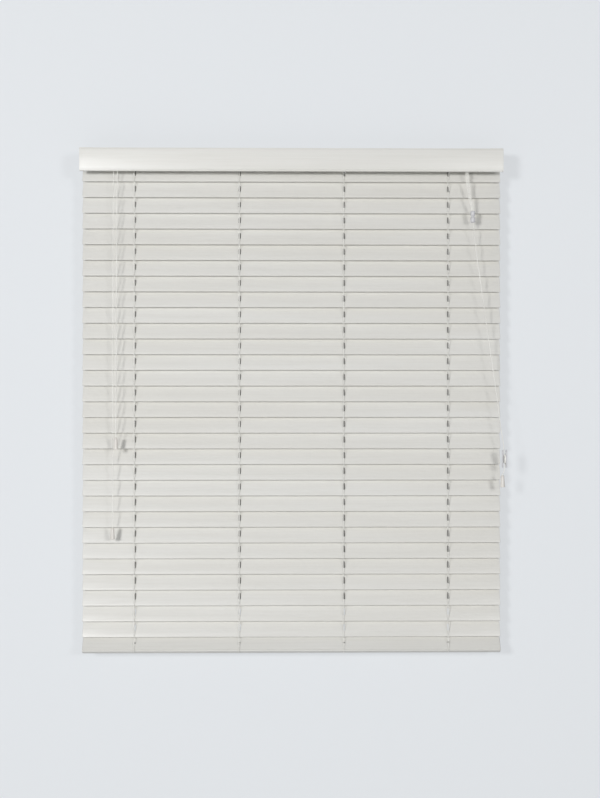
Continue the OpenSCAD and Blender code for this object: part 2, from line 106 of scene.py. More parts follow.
HEADRAIL_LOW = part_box("headrail")[0].z
HEADRAIL_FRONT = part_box("headrail")[0].y
EXIT_Y = HEADRAIL_FRONT + 0.005
VALANCE_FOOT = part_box("valance")[0].z
TASSEL_Y = -0.035
LIFT = TRAVEL["rail_lift"]["range_m"][1]


# ---------- settings that a user would change ----------


def colour_setting(name, description, default):
    return bpy.props.FloatVectorProperty(
        name=name, description=description, subtype="COLOR", default=default, min=0, max=1
    )


def length_setting(name, description, default, low, high):
    return bpy.props.FloatProperty(
        name=name, description=description, subtype="DISTANCE", default=default, min=low, max=high
    )


def power_setting(name, description, default):
    return bpy.props.FloatProperty(
        name=name, description=description, subtype="POWER", default=default, min=0, max=900
    )


class BlindFinishSettings(bpy.types.PropertyGroup):
    """Colours of the blind."""

    paint: colour_setting("Paint", "Colour of the slats, the valance and the bottom rail", (0.725, 0.715, 0.68))
    enamel: colour_setting("Enamel", "Colour of the headrail and its brackets", (0.70, 0.69, 0.65))
    plastic: colour_setting("Plastic", "Colour of the moulded parts in the headrail", (0.72, 0.71, 0.67))
    tassel: colour_setting("Tassel", "Colour of the tassels", (0.73, 0.70, 0.655))
    condenser: colour_setting("Condenser", "Colour of the cord condenser and the cleat", (0.60, 0.60, 0.62))
    cord: colour_setting("Cord", "Colour of the braided cords", (0.93, 0.92, 0.88))


class BlindSizeSettings(bpy.types.PropertyGroup):
    """Sizes of the softened edges and of the cords."""

    slat_edge: length_setting("Slat edge", "Radius of the long edges of a slat", 0.0011, 0.0002, 0.0015)
    rail_edge: length_setting("Rail edge", "Radius of the edges of the bottom rail", 0.003, 0.001, 0.006)
    mould_step: length_setting(
        "Moulding",
        "Depth of the moulded step along the top and the foot of the valance",
        0.0015, 0.0005, 0.003,
    )
    ladder_cord: length_setting(
        "Ladder cord",
        "Diameter of the upright cords of the ladders and of the lift cords",
        0.0014, 0.001, 0.002,
    )
    rung: length_setting("Rung", "Diameter of the strings under the slats", 0.0009, 0.0005, 0.0014)
    hand_cord: length_setting(
        "Hand cord",
        "Diameter of the tilt cords and of the pull cord",
        0.002, 0.0015, 0.003,
    )


class BlindStageSettings(bpy.types.PropertyGroup):
    """Camera, lights, wall and floor."""

    distance: length_setting("Distance", "Distance from the camera to the blind", 3.5, 1, 10)
    wall_gap: length_setting(
        "Wall gap",
        "Distance from the middle of the slats to the wall behind them",
        0.055, 0.04, 1,
    )
    floor_drop: length_setting("Floor", "Height of the top of the blind above the floor", 2.15, 1.45, 3)
    sky: bpy.props.FloatProperty(
        name="Fill",
        description="Strength of the even light from all round",
        default=0.28,
        min=0,
        max=2,
    )
    key: power_setting("Key light", "Power of the lamp on the left", 192)
    side: power_setting("Side light", "Power of the lamp on the right", 92)
    back: power_setting("Back light", "Power of the lamp behind the blind", 90)


def settings(group):
    """One of the three groups of settings of this scene."""
    return getattr(bpy.context.scene, "blind_" + group)


# ---------- shader maths ----------


class Wire:
    """A node's output that arithmetic can be written on."""

    def __init__(self, finish, socket):
        self.finish = finish
        self.socket = socket

    def math(self, operation, first, second=0.0):
        return self.finish.node("Math", {"operation": operation}, {0: first, 1: second})

    def __add__(self, other):
        return self.math("ADD", self, other)

    def __sub__(self, other):
        return self.math("SUBTRACT", self, other)

    def __rsub__(self, other):
        return self.math("SUBTRACT", other, self)

    def __mul__(self, other):
        return self.math("MULTIPLY", self, other)

    def sine(self):
        return self.math("SINE", self)

    def most(self, other):
        return self.math("MAXIMUM", self, other)

    __radd__ = __add__
    __rmul__ = __mul__


class Finish:
    """A material with a principled shader, and the nodes that feed it."""

    def __init__(self, name, **constants):
        self.material = bpy.data.materials.new(name)
        self.material.use_nodes = True
        self.tree = self.material.node_tree
        self.shader = self.tree.nodes["Principled BSDF"]
        for socket, value in constants.items():
            self.shader.inputs[socket.replace("_", " ")].default_value = value

    def plug(self, value, socket):
        if isinstance(value, Wire):
            self.tree.links.new(value.socket, socket)
        elif socket.type == "RGBA" and len(value) == 3:
            socket.default_value = (*value, 1)
        else:
            socket.default_value = value

    def node(self, kind, options, sockets, output=0):
        made = self.tree.nodes.new("ShaderNode" + kind)
        for option, value in options.items():
            if option == "stops":
                ramp = made.color_ramp.elements
                for stop, (place, grey) in zip((ramp[0], ramp[1]), value):
                    stop.position = place
                    stop.color = (grey, grey, grey, 1)
            else:
                setattr(made, option, value)
        for socket, value in sockets.items():
            self.plug(value, made.inputs[socket])
        return Wire(self, made.outputs[output])

    def place(self, scale=(1, 1, 1)):
        """Object coordinates, stretched."""
        here = self.node("TexCoord", {}, {}, "Object")
        return self.node("Mapping", {}, {"Vector": here, "Scale": scale})

    def noise(self, where, scale, detail=3, roughness=0.55):
        sockets = {"Vector": where, "Scale": scale, "Detail": detail, "Roughness": roughness}
        return self.node("TexNoise", {}, sockets)

    def ramp(self, value, low, high):
        return self.node("ValToRGB", {"stops": ((low, 0), (high, 1))}, {"Fac": value})

    def mix(self, factor, a, b):
        return self.node("Mix", {"data_type": "RGBA"}, {0: factor, 6: a, 7: b}, 2)

    def bump(self, height, strength, distance):
        sockets = {"Height": height, "Strength": strength, "Distance": distance}
        return self.node("Bump", {}, sockets)

    def feed(self, **sockets):
        for socket, value in sockets.items():
            self.plug(value, self.shader.inputs[socket.replace("_", " ")])
        return self.material


def tint(colour, share, warm=0.0):
    """A colour made darker by a share, and a little warmer."""
    red, green, blue = colour
    return (red * share, green * share * (1 - warm / 3), blue * share * (1 - warm))


MADE = {}


def finish(name):
    """The material of that name, made the first time it is asked for."""
    if name not in MADE:
        MADE[name] = FINISHES[name]()
    return MADE[name]


def finish_paint():
    """Satin paint, rolled on wood whose grain shows faintly through it."""
    colour = tuple(settings("finish").paint)
    paint = Finish("satin_paint", Specular_IOR_Level=0.45, Coat_Roughness=0.25)
    grain = paint.noise(paint.place((5, 210, 210)), 1.0, 6, 0.62)
    streak = paint.ramp(grain, 0.42, 0.62)
    peel = paint.noise(paint.place(), 650, 2)
    tone = paint.noise(paint.place((0.8, 9, 9)), 1.0, 2)
    base = paint.mix(paint.ramp(tone, 0.35, 0.65), tint(colour, 0.965, 0.02), colour)
    base = paint.mix(streak * 0.22, base, tint(colour, 0.86, 0.05))
    return paint.feed(
        Base_Color=base,
        Roughness=0.4 + grain * 0.12 + (tone - 0.5) * 0.1,
        Coat_Weight=0.12 + peel * 0.1,
        Normal=paint.bump(grain * 0.7 + peel * 0.3, 0.35, 0.0003),
    )


def finish_enamel():
    """Powder coat on sheet steel."""
    colour = tuple(settings("finish").enamel)
    enamel = Finish("powder_coat", Specular_IOR_Level=0.5, Coat_Roughness=0.2)
    peel = enamel.noise(enamel.place(), 900, 2)
    cloud = enamel.noise(enamel.place((3, 20, 20)), 1.0, 3)
    return enamel.feed(
        Base_Color=enamel.mix(enamel.ramp(cloud, 0.3, 0.7), tint(colour, 0.94, 0.03), colour),
        Roughness=0.3 + cloud * 0.15,
        Coat_Weight=0.15 + peel * 0.15,
        Normal=enamel.bump(peel, 0.25, 0.0002),
    )


def finish_zinc():
    """Zinc plate with drawing lines along X and cloudy passivation."""
    zinc = Finish("zinc_plate", Anisotropic=0.3)
    line = zinc.noise(zinc.place((14, 900, 900)), 1.0, 4, 0.7)
    cloud = zinc.noise(zinc.place((40, 160, 160)), 1.0, 4)
    base = zinc.mix(zinc.ramp(cloud, 0.35, 0.7), (0.56, 0.57, 0.58), (0.66, 0.64, 0.57))
    return zinc.feed(
        Base_Color=base,
        Metallic=0.96 - cloud * 0.08,
        Roughness=0.26 + line * 0.2 + cloud * 0.1,
        Normal=zinc.bump(line, 0.3, 0.0001),
    )


def moulded(name, colour, gloss, **constants):
    """Moulded plastic: fine spark texture, flow marks and a dulled skin."""
    plastic = Finish(name, Specular_IOR_Level=0.45, **constants)
    spark = plastic.noise(plastic.place(), 1800, 2)
    flow = plastic.noise(plastic.place((60, 60, 25)), 1.0, 3)
    base = plastic.mix(plastic.ramp(flow, 0.3, 0.7), tint(colour, 0.95, 0.03), colour)
    return plastic.feed(
        Base_Color=plastic.mix(spark * 0.12, base, tint(colour, 0.9)),
        Roughness=gloss + flow * 0.12 + spark * 0.08,
        Normal=plastic.bump(spark * 0.6 + flow * 0.4, 0.2, 0.0001),
    )


def finish_plastic():
    return moulded("moulded_plastic", tuple(settings("finish").plastic), 0.38)


def finish_tassel():
    return moulded("ivory_plastic", tuple(settings("finish").tassel), 0.25)


def finish_condenser():
    return moulded("grey_plastic", tuple(settings("finish").condenser), 0.3)


def finish_cord():
    """Braided polyester: two sets of strands that cross, on the UV map of the cord, with painted shade in the
    grooves between them.
    """
    colour = tuple(settings("finish").cord)
    cord = Finish("braided_cord", Specular_IOR_Level=0.3, Sheen_Weight=0.3, Sheen_Roughness=0.5)
    uv = cord.node("TexCoord", {}, {}, "UV")
    along = cord.node("SeparateXYZ", {}, {"Vector": uv}, "X")
    around = cord.node("SeparateXYZ", {}, {"Vector": uv}, "Y")
    turn, plait, strands = 2 * math.pi, 0.0022, 4
    right = (along * (turn / plait) + around * (turn * strands)).sine()
    left = (along * (turn / plait) - around * (turn * strands)).sine()
    strand = right.most(left)
    fuzz = cord.noise(cord.place(), 2600, 2)
    dirt = cord.noise(cord.place((30, 30, 8)), 1.0, 2)
    # Darker where the strands dip, in the grooves between them: painted shade.
    base = cord.mix(cord.ramp(strand, -0.2, 0.8), tint(colour, 0.86, 0.04), colour)
    return cord.feed(
        Base_Color=cord.mix(dirt * 0.15, base, tint(colour, 0.9, 0.06)),
        Roughness=0.62 + fuzz * 0.2,
        Normal=cord.bump(strand * 0.8 + fuzz * 0.2, 0.6, 0.0002),
    )


FINISHES = {
    "paint": finish_paint,
    "enamel": finish_enamel,
    "zinc": finish_zinc,
    "plastic": finish_plastic,
    "tassel": finish_tassel,
    "condenser": finish_condenser,
    "cord": finish_cord,
}


# ---------- modelling as by hand ----------


def deselect():
    """Leaves edit mode and selects nothing."""
    if bpy.context.object and bpy.context.object.mode != "OBJECT":
        bpy.ops.object.mode_set(mode="OBJECT")
    bpy.ops.object.select_all(action="DESELECT")


def only(piece):
    """Makes one piece the selected and active one."""
    deselect()
    piece.select_set(True)
    bpy.context.view_layer.objects.active = piece
    return piece


def settle(piece, name):
    """Names a piece and puts its place into its mesh."""
    only(piece)
    bpy.ops.object.transform_apply(location=True, rotation=True, scale=True)
    piece.name = name
    piece.data.name = name
    return piece


def block(name, low, high):
    """A box between two corners, to be shaped further."""
    low, high = Vector(low), Vector(high)
    deselect()
    bpy.ops.mesh.primitive_cube_add(size=1, location=(low + high) / 2, scale=high - low)
    return settle(bpy.context.object, name)


def pick(piece, test, kind="FACE"):
    """Enters edit mode with the faces or edges selected that pass a test."""
    only(piece)
    bpy.context.tool_settings.mesh_select_mode = (False, kind == "EDGE", kind == "FACE")
    mesh = piece.data
    for group in (mesh.vertices, mesh.edges, mesh.polygons):
        group.foreach_set("select", [False] * len(group))
    if kind == "FACE":
        for face in mesh.polygons:
            face.select = test(face.center, face.normal)
    else:
        for edge in mesh.edges:
            a, b = (mesh.vertices[v].co for v in edge.vertices)
            edge.select = test(a, b)
    bpy.ops.object.mode_set(mode="EDIT")


def whole(piece):
    """Enters edit mode with all of a piece selected."""
    only(piece)
    bpy.ops.object.mode_set(mode="EDIT")
    bpy.ops.mesh.select_mode(type="VERT")
    bpy.ops.mesh.select_all(action="SELECT")


def apply(piece, kind, **values):
    """Adds a modifier and applies it."""
    only(piece)
    modifier = piece.modifiers.new(kind.title(), kind)
    for key, value in values.items():
        setattr(modifier, key, value)
    bpy.ops.object.modifier_apply(modifier=modifier.name)
    return piece


def soften(piece, width, segments=3, angle=32):
    """Rounds the sharp edges of a piece."""
    apply(
        piece,
        "BEVEL",
        width=width,
        segments=segments,
        limit_method="ANGLE",
        angle_limit=math.radians(angle),
        use_clamp_overlap=True,
    )
    return smooth(piece)


def smooth(piece, angle=35):
    only(piece)
    bpy.ops.object.shade_smooth_by_angle(angle=math.radians(angle))
    return piece


def cut(piece, *tools):
    """Takes the shape of each tool out of a piece, and deletes the tools."""
    for tool in tools:
        apply(piece, "BOOLEAN", object=tool, operation="DIFFERENCE", solver="EXACT")
        bpy.data.objects.remove(tool)
    return piece


def unite(name, pieces):
    """Joins pieces into one object."""
    only(pieces[0])
    for piece in pieces:
        piece.select_set(True)
    if len(pieces) > 1:
        bpy.ops.object.join()
    return settle(bpy.context.object, name)


def copy(piece, name, matrix):
    """A copy with its own mesh, moved in the mesh."""
    twin = bpy.data.objects.new(name, piece.data.copy())
    twin.data.name = name
    twin.data.transform(matrix)
    bpy.context.scene.collection.objects.link(twin)
    return twin


def discard(*pieces):
    for piece in pieces:
        bpy.data.objects.remove(piece)


def chain(points):
    """An edge chain, drawn by extruding one vertex from point to point. Stays in edit mode."""
    points = [Vector(p) for p in points]
    deselect()
    bpy.ops.mesh.primitive_plane_add(size=0.01, location=points[0])
    piece = settle(bpy.context.object, "chain")
    whole(piece)
    bpy.ops.mesh.merge(type="CENTER")
    for here, there in zip(points, points[1:]):
        bpy.ops.mesh.extrude_region_move(TRANSFORM_OT_translate={"value": there - here})
    return piece


def tidy_normals(piece, inside=False):
    whole(piece)
    bpy.ops.mesh.remove_doubles(threshold=1e-6)
    bpy.ops.mesh.normals_make_consistent(inside=inside)
    bpy.ops.object.mode_set(mode="OBJECT")
    return piece


def prism(name, outline, push):
    """A flat outline, filled and extruded."""
    piece = chain(outline)
    bpy.ops.mesh.select_all(action="SELECT")
    bpy.ops.mesh.edge_face_add()
    bpy.ops.mesh.extrude_region_move(TRANSFORM_OT_translate={"value": Vector(push)})
    bpy.ops.object.mode_set(mode="OBJECT")
    piece.name = name
    return tidy_normals(piece)


def lathe(name, profile, centre, steps=40, axis=(0, 0, 1)):
    """A profile of (radius, height) points, spun about an axis through a centre."""
    centre, axis = Vector(centre), Vector(axis)
    out = Vector((1, 0, 0)) if abs(axis.x) < 0.5 else Vector((0, 1, 0))
    piece = chain([centre + out * r + axis * h for r, h in profile])
    bpy.ops.mesh.select_all(action="SELECT")
    bpy.ops.mesh.spin(steps=steps, angle=2 * math.pi, center=centre, axis=axis)
    bpy.ops.object.mode_set(mode="OBJECT")
    piece.name = name
    return tidy_normals(piece)


def arc(centre, radius, start, end, steps=6):
    """Points along an arc, in degrees, in a plane of two numbers."""
    angles = [math.radians(start + (end - start) * i / steps) for i in range(steps + 1)]
    return [(centre[0] + radius * math.cos(a), centre[1] + radius * math.sin(a)) for a in angles]


def oblong(length, width, steps=8):
    """The outline of a slot with round ends, longest along its first number."""
    half = (length - width) / 2
    return arc((half, 0), width / 2, -90, 90, steps) + arc((-half, 0), width / 2, 90, 270, steps)


def curved(points, count):
    """Points spaced evenly along a smooth curve through a cord's route."""
    points = [Vector(p) for p in points]
    ends = [2 * points[0] - points[1], *points, 2 * points[-1] - points[-2]]
    fine = []
    for a, b, c, d in zip(ends, ends[1:], ends[2:], ends[3:]):
        for i in range(12):
            t = i / 12
            bow = (2 * a - 5 * b + 4 * c - d) * t**2 + (3 * b - a - 3 * c + d) * t**3
            fine.append(0.5 * (2 * b + (c - a) * t + bow))
    fine.append(points[-1])
    return evenly(fine, count)


def evenly(points, count):
    """As many points, evenly spaced, along straight stretches."""
    points = [Vector(p) for p in points]
    reach = [0.0]
    for a, b in zip(points, points[1:]):
        reach.append(reach[-1] + (b - a).length)
    made, k = [], 0
    for i in range(count):
        want = reach[-1] * i / (count - 1)
        while k < len(points) - 2 and reach[k + 1] < want:
            k += 1
        share = (want - reach[k]) / max(reach[k + 1] - reach[k], 1e-9)
        made.append(points[k].lerp(points[k + 1], min(max(share, 0), 1)))
    return made


def length_of(points):
    return sum((b - a).length for a, b in zip(points, points[1:]))


def tubes(name, paths, diameter, sides=2):
    """Round cords along paths as one mesh, with a UV map in metres along and turns around."""
    curve = bpy.data.curves.new(name, "CURVE")
    curve.dimensions = "3D"
    curve.bevel_depth = diameter / 2
    curve.bevel_resolution = sides
    curve.use_fill_caps = True
    for path in paths:
        spline = curve.splines.new("POLY")
        spline.points.add(len(path) - 1)
        for point, place in zip(spline.points, path):
            point.co = (*place, 1)
    piece = bpy.data.objects.new(name, curve)
    bpy.context.scene.collection.objects.link(piece)
    only(piece)
    bpy.ops.object.convert(target="MESH")
    piece = bpy.context.object
    longest = max(length_of([Vector(p) for p in path]) for path in paths)
    for corner in piece.data.uv_layers[0].data:
        around, along = corner.uv
        corner.uv = (along * longest, around)
    piece.data.name = name
    only(piece)
    bpy.ops.object.shade_smooth()
    dress(piece, "cord")
    return piece


def dress(piece, material):
    """Gives a piece its one material."""
    piece.data.materials.clear()
    piece.data.materials.append(finish(material))
    return piece


def fit(piece, material, body, *nodes):
    """Dresses a finished piece, rides it on a body and lets it stand for CAD nodes."""
    dress(piece, material)
    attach(piece, body)
    if nodes:
        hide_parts(*nodes)
    return piece


def crisp(node, name, material, width, segments=2):
    """A merged copy of a CAD node with its edges rounded."""
    piece = bpy.data.objects.new(name, frame["nodes"][node].data.copy())
    piece.data.name = name
    bpy.context.scene.collection.objects.link(piece)
    whole(piece)
    bpy.ops.mesh.customdata_custom_splitnormals_clear()
    bpy.ops.mesh.remove_doubles(threshold=1e-6)
    bpy.ops.mesh.dissolve_limited(angle_limit=math.radians(1))
    bpy.ops.object.mode_set(mode="OBJECT")
    soften(piece, width, segments)
    return fit(piece, material, BODY_OF[node], node)


def tilted(angle, z):
    """Turns a level board to its closed slope at a height."""
    return Matrix.Translation((0, 0, z)) @ Matrix.Rotation(angle, 4, "X")


# ---------- stage ----------


class BLIND_OT_stage(bpy.types.Operator):
    """Adds the camera, two soft lamps, the pale wall, a dark sheet of painted shade behind the slats, and the
    pale floor
    """

    bl_idname = "blind.stage"
    bl_label = "Stage"

    def execute(self, context):
        stage = settings("stage")
        self.camera(context, stage)
        self.lamp("key_lamp", (-2.95, -5.5, 0.2), stage.key, 1.0)
        self.lamp("side_lamp", (2.95, -5.5, 0.2), stage.side, 1.0)
        self.lamp("back_lamp", (0.6, 5.0, 0.2), stage.back, 2.0)
        self.surroundings(context, stage)
        return {"FINISHED"}

    def camera(self, context, stage):
        yaw = math.radians(0.8)
        aim = Vector((0.0231, 0, -0.70))
        lens = bpy.data.cameras.new("camera")
        lens.lens = 56.17
        lens.sensor_width = 36
        lens.clip_end = 100
        camera = bpy.data.objects.new("camera", lens)
        camera.location = aim - Vector((math.sin(yaw), math.cos(yaw), 0)) * stage.distance
        camera.rotation_euler = (math.radians(90), 0, -yaw)
        context.scene.collection.objects.link(camera)
        context.scene.camera = camera
        context.scene.view_settings.view_transform = "Standard"

    def lamp(self, name, place, power, size):
        light = bpy.data.lights.new(name, "AREA")
        light.energy = power
        light.size = size
        lamp = bpy.data.objects.new(name, light)
        lamp.location = place
        aim = Vector((0, 0, -0.7)) - Vector(place)
        lamp.rotation_mode = "QUATERNION"
        lamp.rotation_quaternion = aim.to_track_quat("-Z", "Y")
        bpy.context.scene.collection.objects.link(lamp)

    def surroundings(self, context, stage):
        world = bpy.data.worlds.new("room_light")
        world.use_nodes = True
        sky = world.node_tree.nodes["Background"]
        sky.inputs["Color"].default_value = (0.93, 0.96, 1.0, 1)
        sky.inputs["Strength"].default_value = stage.sky
        context.scene.world = world
        half = 12
        back, low = stage.wall_gap, -stage.floor_drop
        floor = block("floor", (-half, -half, low - 0.02), (half, half, low))
        soften(floor, 0.01)
        floor.data.materials.append(self.plain("floor_paint", (0.76, 0.77, 0.78)))
        room = [(-half, low), (half, low), (half, 3), (-half, 3)]
        wall = self.sheet("wall", room, back, 0.02, self.plain("wall_paint", (0.26, 0.27, 0.28), 0.53))
        # A dark sheet just in front of the wall, behind the slats: painted shade, seen through the rout holes
        # and between open slats.
        dark = self.plain("dark_room", (0.035, 0.034, 0.032))
        window = self.sheet("window", self.painted_shade_corners(), back - 0.003, 0.002, dark)

    def sheet(self, name, outline, y, thick, material):
        """A front face alone, which shows from the room and throws no light or shadow."""
        sheet = prism(name, [(x, y, z) for x, z in outline], (0, thick, 0))
        pick(sheet, lambda centre, normal: normal.y > -0.5)
        bpy.ops.mesh.delete(type="FACE")
        bpy.ops.object.mode_set(mode="OBJECT")
        sheet.data.materials.append(self.one_sided(material))
        sheet.visible_diffuse = False
        sheet.visible_glossy = False
        sheet.visible_shadow = False
        return sheet

    def painted_shade_corners(self):
        """The corners of the dark sheet of painted shade behind the slats, with the bottom rail up or down."""
        half, high, low = SLAT_END - 0.07, ROD_Z - 0.03, RAIL_Z + LIFT
        return [(-half, low), (half, low), (half, high), (-half, high)]

    def plain(self, name, colour, glow=0.0):
        """Matt emulsion, with the light that bounces round the rest of the room."""
        cool = (0.95, 0.975, 1, 1)
        emulsion = Finish(name, Specular_IOR_Level=0.2, Emission_Strength=glow, Emission_Color=cool)
        cloud = emulsion.noise(emulsion.place(), 1.5, 3)
        return emulsion.feed(
            Base_Color=emulsion.mix(cloud, tint(colour, 0.98), colour),
            Roughness=0.85 + cloud * 0.1,
        )

    def one_sided(self, material):
        """Lets a wall be seen through from behind."""
        tree = material.node_tree
        shader = tree.nodes["Principled BSDF"]
        side = tree.nodes.new("ShaderNodeNewGeometry")
        clear = tree.nodes.new("ShaderNodeBsdfTransparent")
        choice = tree.nodes.new("ShaderNodeMixShader")
        tree.links.new(side.outputs["Backfacing"], choice.inputs[0])
        tree.links.new(shader.outputs[0], choice.inputs[1])
        tree.links.new(clear.outputs[0], choice.inputs[2])
        tree.links.new(choice.outputs[0], tree.nodes["Material Output"].inputs[0])
        return material


# ---------- hand cords, tassels, condenser and cleat ----------

# Routes of the cords, as the CAD model has them
TILT_EXIT = {-1: TILTER_X - 0.0055, 1: TILTER_X + 0.0055}
TILT_GROOVE = 0.00907
TASSEL_TOP = {
    name: Vector((middle(name).x, middle(name).y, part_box(name)[1].z))
    for name in ("tilt_tassel_left", "tilt_tassel_right", "pull_tassel")
}
PULL_ROUTE = [
    (0.5045, -0.035, -0.203),
    (0.5045, -0.035, -0.210),
    (0.506, -0.035, -0.216),
    (0.512, -0.036, -0.266),
    (0.517, -0.037, -0.311),
    (0.544, -0.042, -0.507),
    (0.571, -0.046, -0.703),
    (0.577, -0.048, -0.755),
    (0.583, -0.049, -0.797),
    (0.588, -0.050, -0.826),
]
TAIL_ROUTE = [(0.588, -0.050, -0.904), (0.585, -0.050, -0.909), (0.585, -0.050, -0.914)]
CLEAT = Vector((0.597, -0.050, -0.866))
CONDENSER = Vector((0.5045, -0.035, -0.208))


def tassel(node):
    """A turned tassel: a flared skirt with a beaded neck, hollow from below, with a knot inside."""
    x, y, top = TASSEL_TOP[node]
    height = 0.033
    skirt = [(0.0045, 0.0), (0.0056, 0.0), *arc((0.0058, 0.0007), 0.0007, -90, 0, 4)]
    side = [(0.0063, 0.004), (0.0058, 0.012), (0.0052, 0.020), (0.00475, 0.027)]
    neck = [(0.0044, 0.0284), (0.0047, 0.0292), (0.0047, 0.0304), (0.0042, 0.0314), (0.0036, 0.0322)]
    crown = [(0.0028, 0.0328), (0.0019, height), (0.0013, 0.0326), (0.0011, 0.031)]
    bore = [(0.0011, 0.0175), (0.0040, 0.0160), (0.0045, 0.0140), (0.0047, 0.001), (0.0045, 0.0)]
    piece = lathe(node + "_skirt", skirt + side + neck + crown + bore, (x, y, top - height))
    smooth(piece, 40)
    fit(piece, "tassel", BODY_OF[node], node)
    knot = overhand(node + "_knot", (x, y, top - 0.0205), 0.0021, 0.0007)
    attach(knot, BODY_OF[node])
    return piece


def hang(path):
    """Measures the length of a cord's path, and keeps nothing of it."""
    length_of(path)


def overhand(name, centre, size, radius):
    """An overhand knot: a trefoil of cord."""
    path = []
    for i in range(37):
        t = 2 * math.pi * i / 36
        path.append(
            Vector(centre)
            + Vector((math.sin(t) + 2 * math.sin(2 * t), math.cos(t) - 2 * math.cos(2 * t), -math.sin(3 * t)))
            * (size / 3)
        )
    return tubes(name, [path], 2 * radius)


class BLIND_OT_tilt_cords(bpy.types.Operator):
    """Adds the two tilt cords, their turns on the pulley and their tassels"""

    bl_idname = "blind.tilt_cords"
    bl_label = "Tilt cords"

    def execute(self, context):
        for side, name, lean in ((-1, "left", -0.0005), (1, "right", -0.0015)):
            node = "tilt_tassel_" + name
            self.cord(side, lean, node, tassel(node))
        self.turns()
        return {"FINISHED"}

    def cord(self, side, lean, node, weight):
        diameter = settings("size").hand_cord
        exit_x = TILT_EXIT[side]
        groove_x = TILTER_X + TILT_GROOVE * side
        groove_y = -0.020 + 0.002 * side
        top = Vector(TASSEL_TOP[node])
        route = [
            (groove_x, groove_y, WORM_Z),
            (groove_x, groove_y, WORM_Z - 0.007),
            (exit_x + side * 0.001, (groove_y + EXIT_Y) / 2, -0.0389),
            (exit_x, EXIT_Y, HEADRAIL_LOW - 0.001),
            (exit_x, TASSEL_Y + 0.005, VALANCE_FOOT),
            (exit_x + lean, TASSEL_Y + 0.002, -0.160),
        ]
        bend = curved(route, 18)
        path = bend + evenly([bend[-1], top + Vector((0, 0, 0.004))], 13)[1:] + [top - Vector((0, 0, 0.002))]
        piece = tubes("tilt_cord_" + node[12:], [path], diameter, 3)
        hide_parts("tilt_cords")
        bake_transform(piece)
        hang(path)

    def turns(self):
        """The cord wound in the two grooves of the pulley."""
        diameter = settings("size").hand_cord
        paths = []
        for side in (-1, 1):
            path = []
            for i in range(49):
                a = 2 * math.pi * i / 24
                y = -0.0219 + 0.0019 * side + 0.0019 * i / 48
                path.append(
                    (TILTER_X + TILT_GROOVE * side * math.cos(a), y, WORM_Z + TILT_GROOVE * math.sin(a))
                )
            paths.append(path)
        wound = tubes("pulley_turns", paths, diameter * 0.85)
        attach(wound, BODY_OF["tilter_worm"])


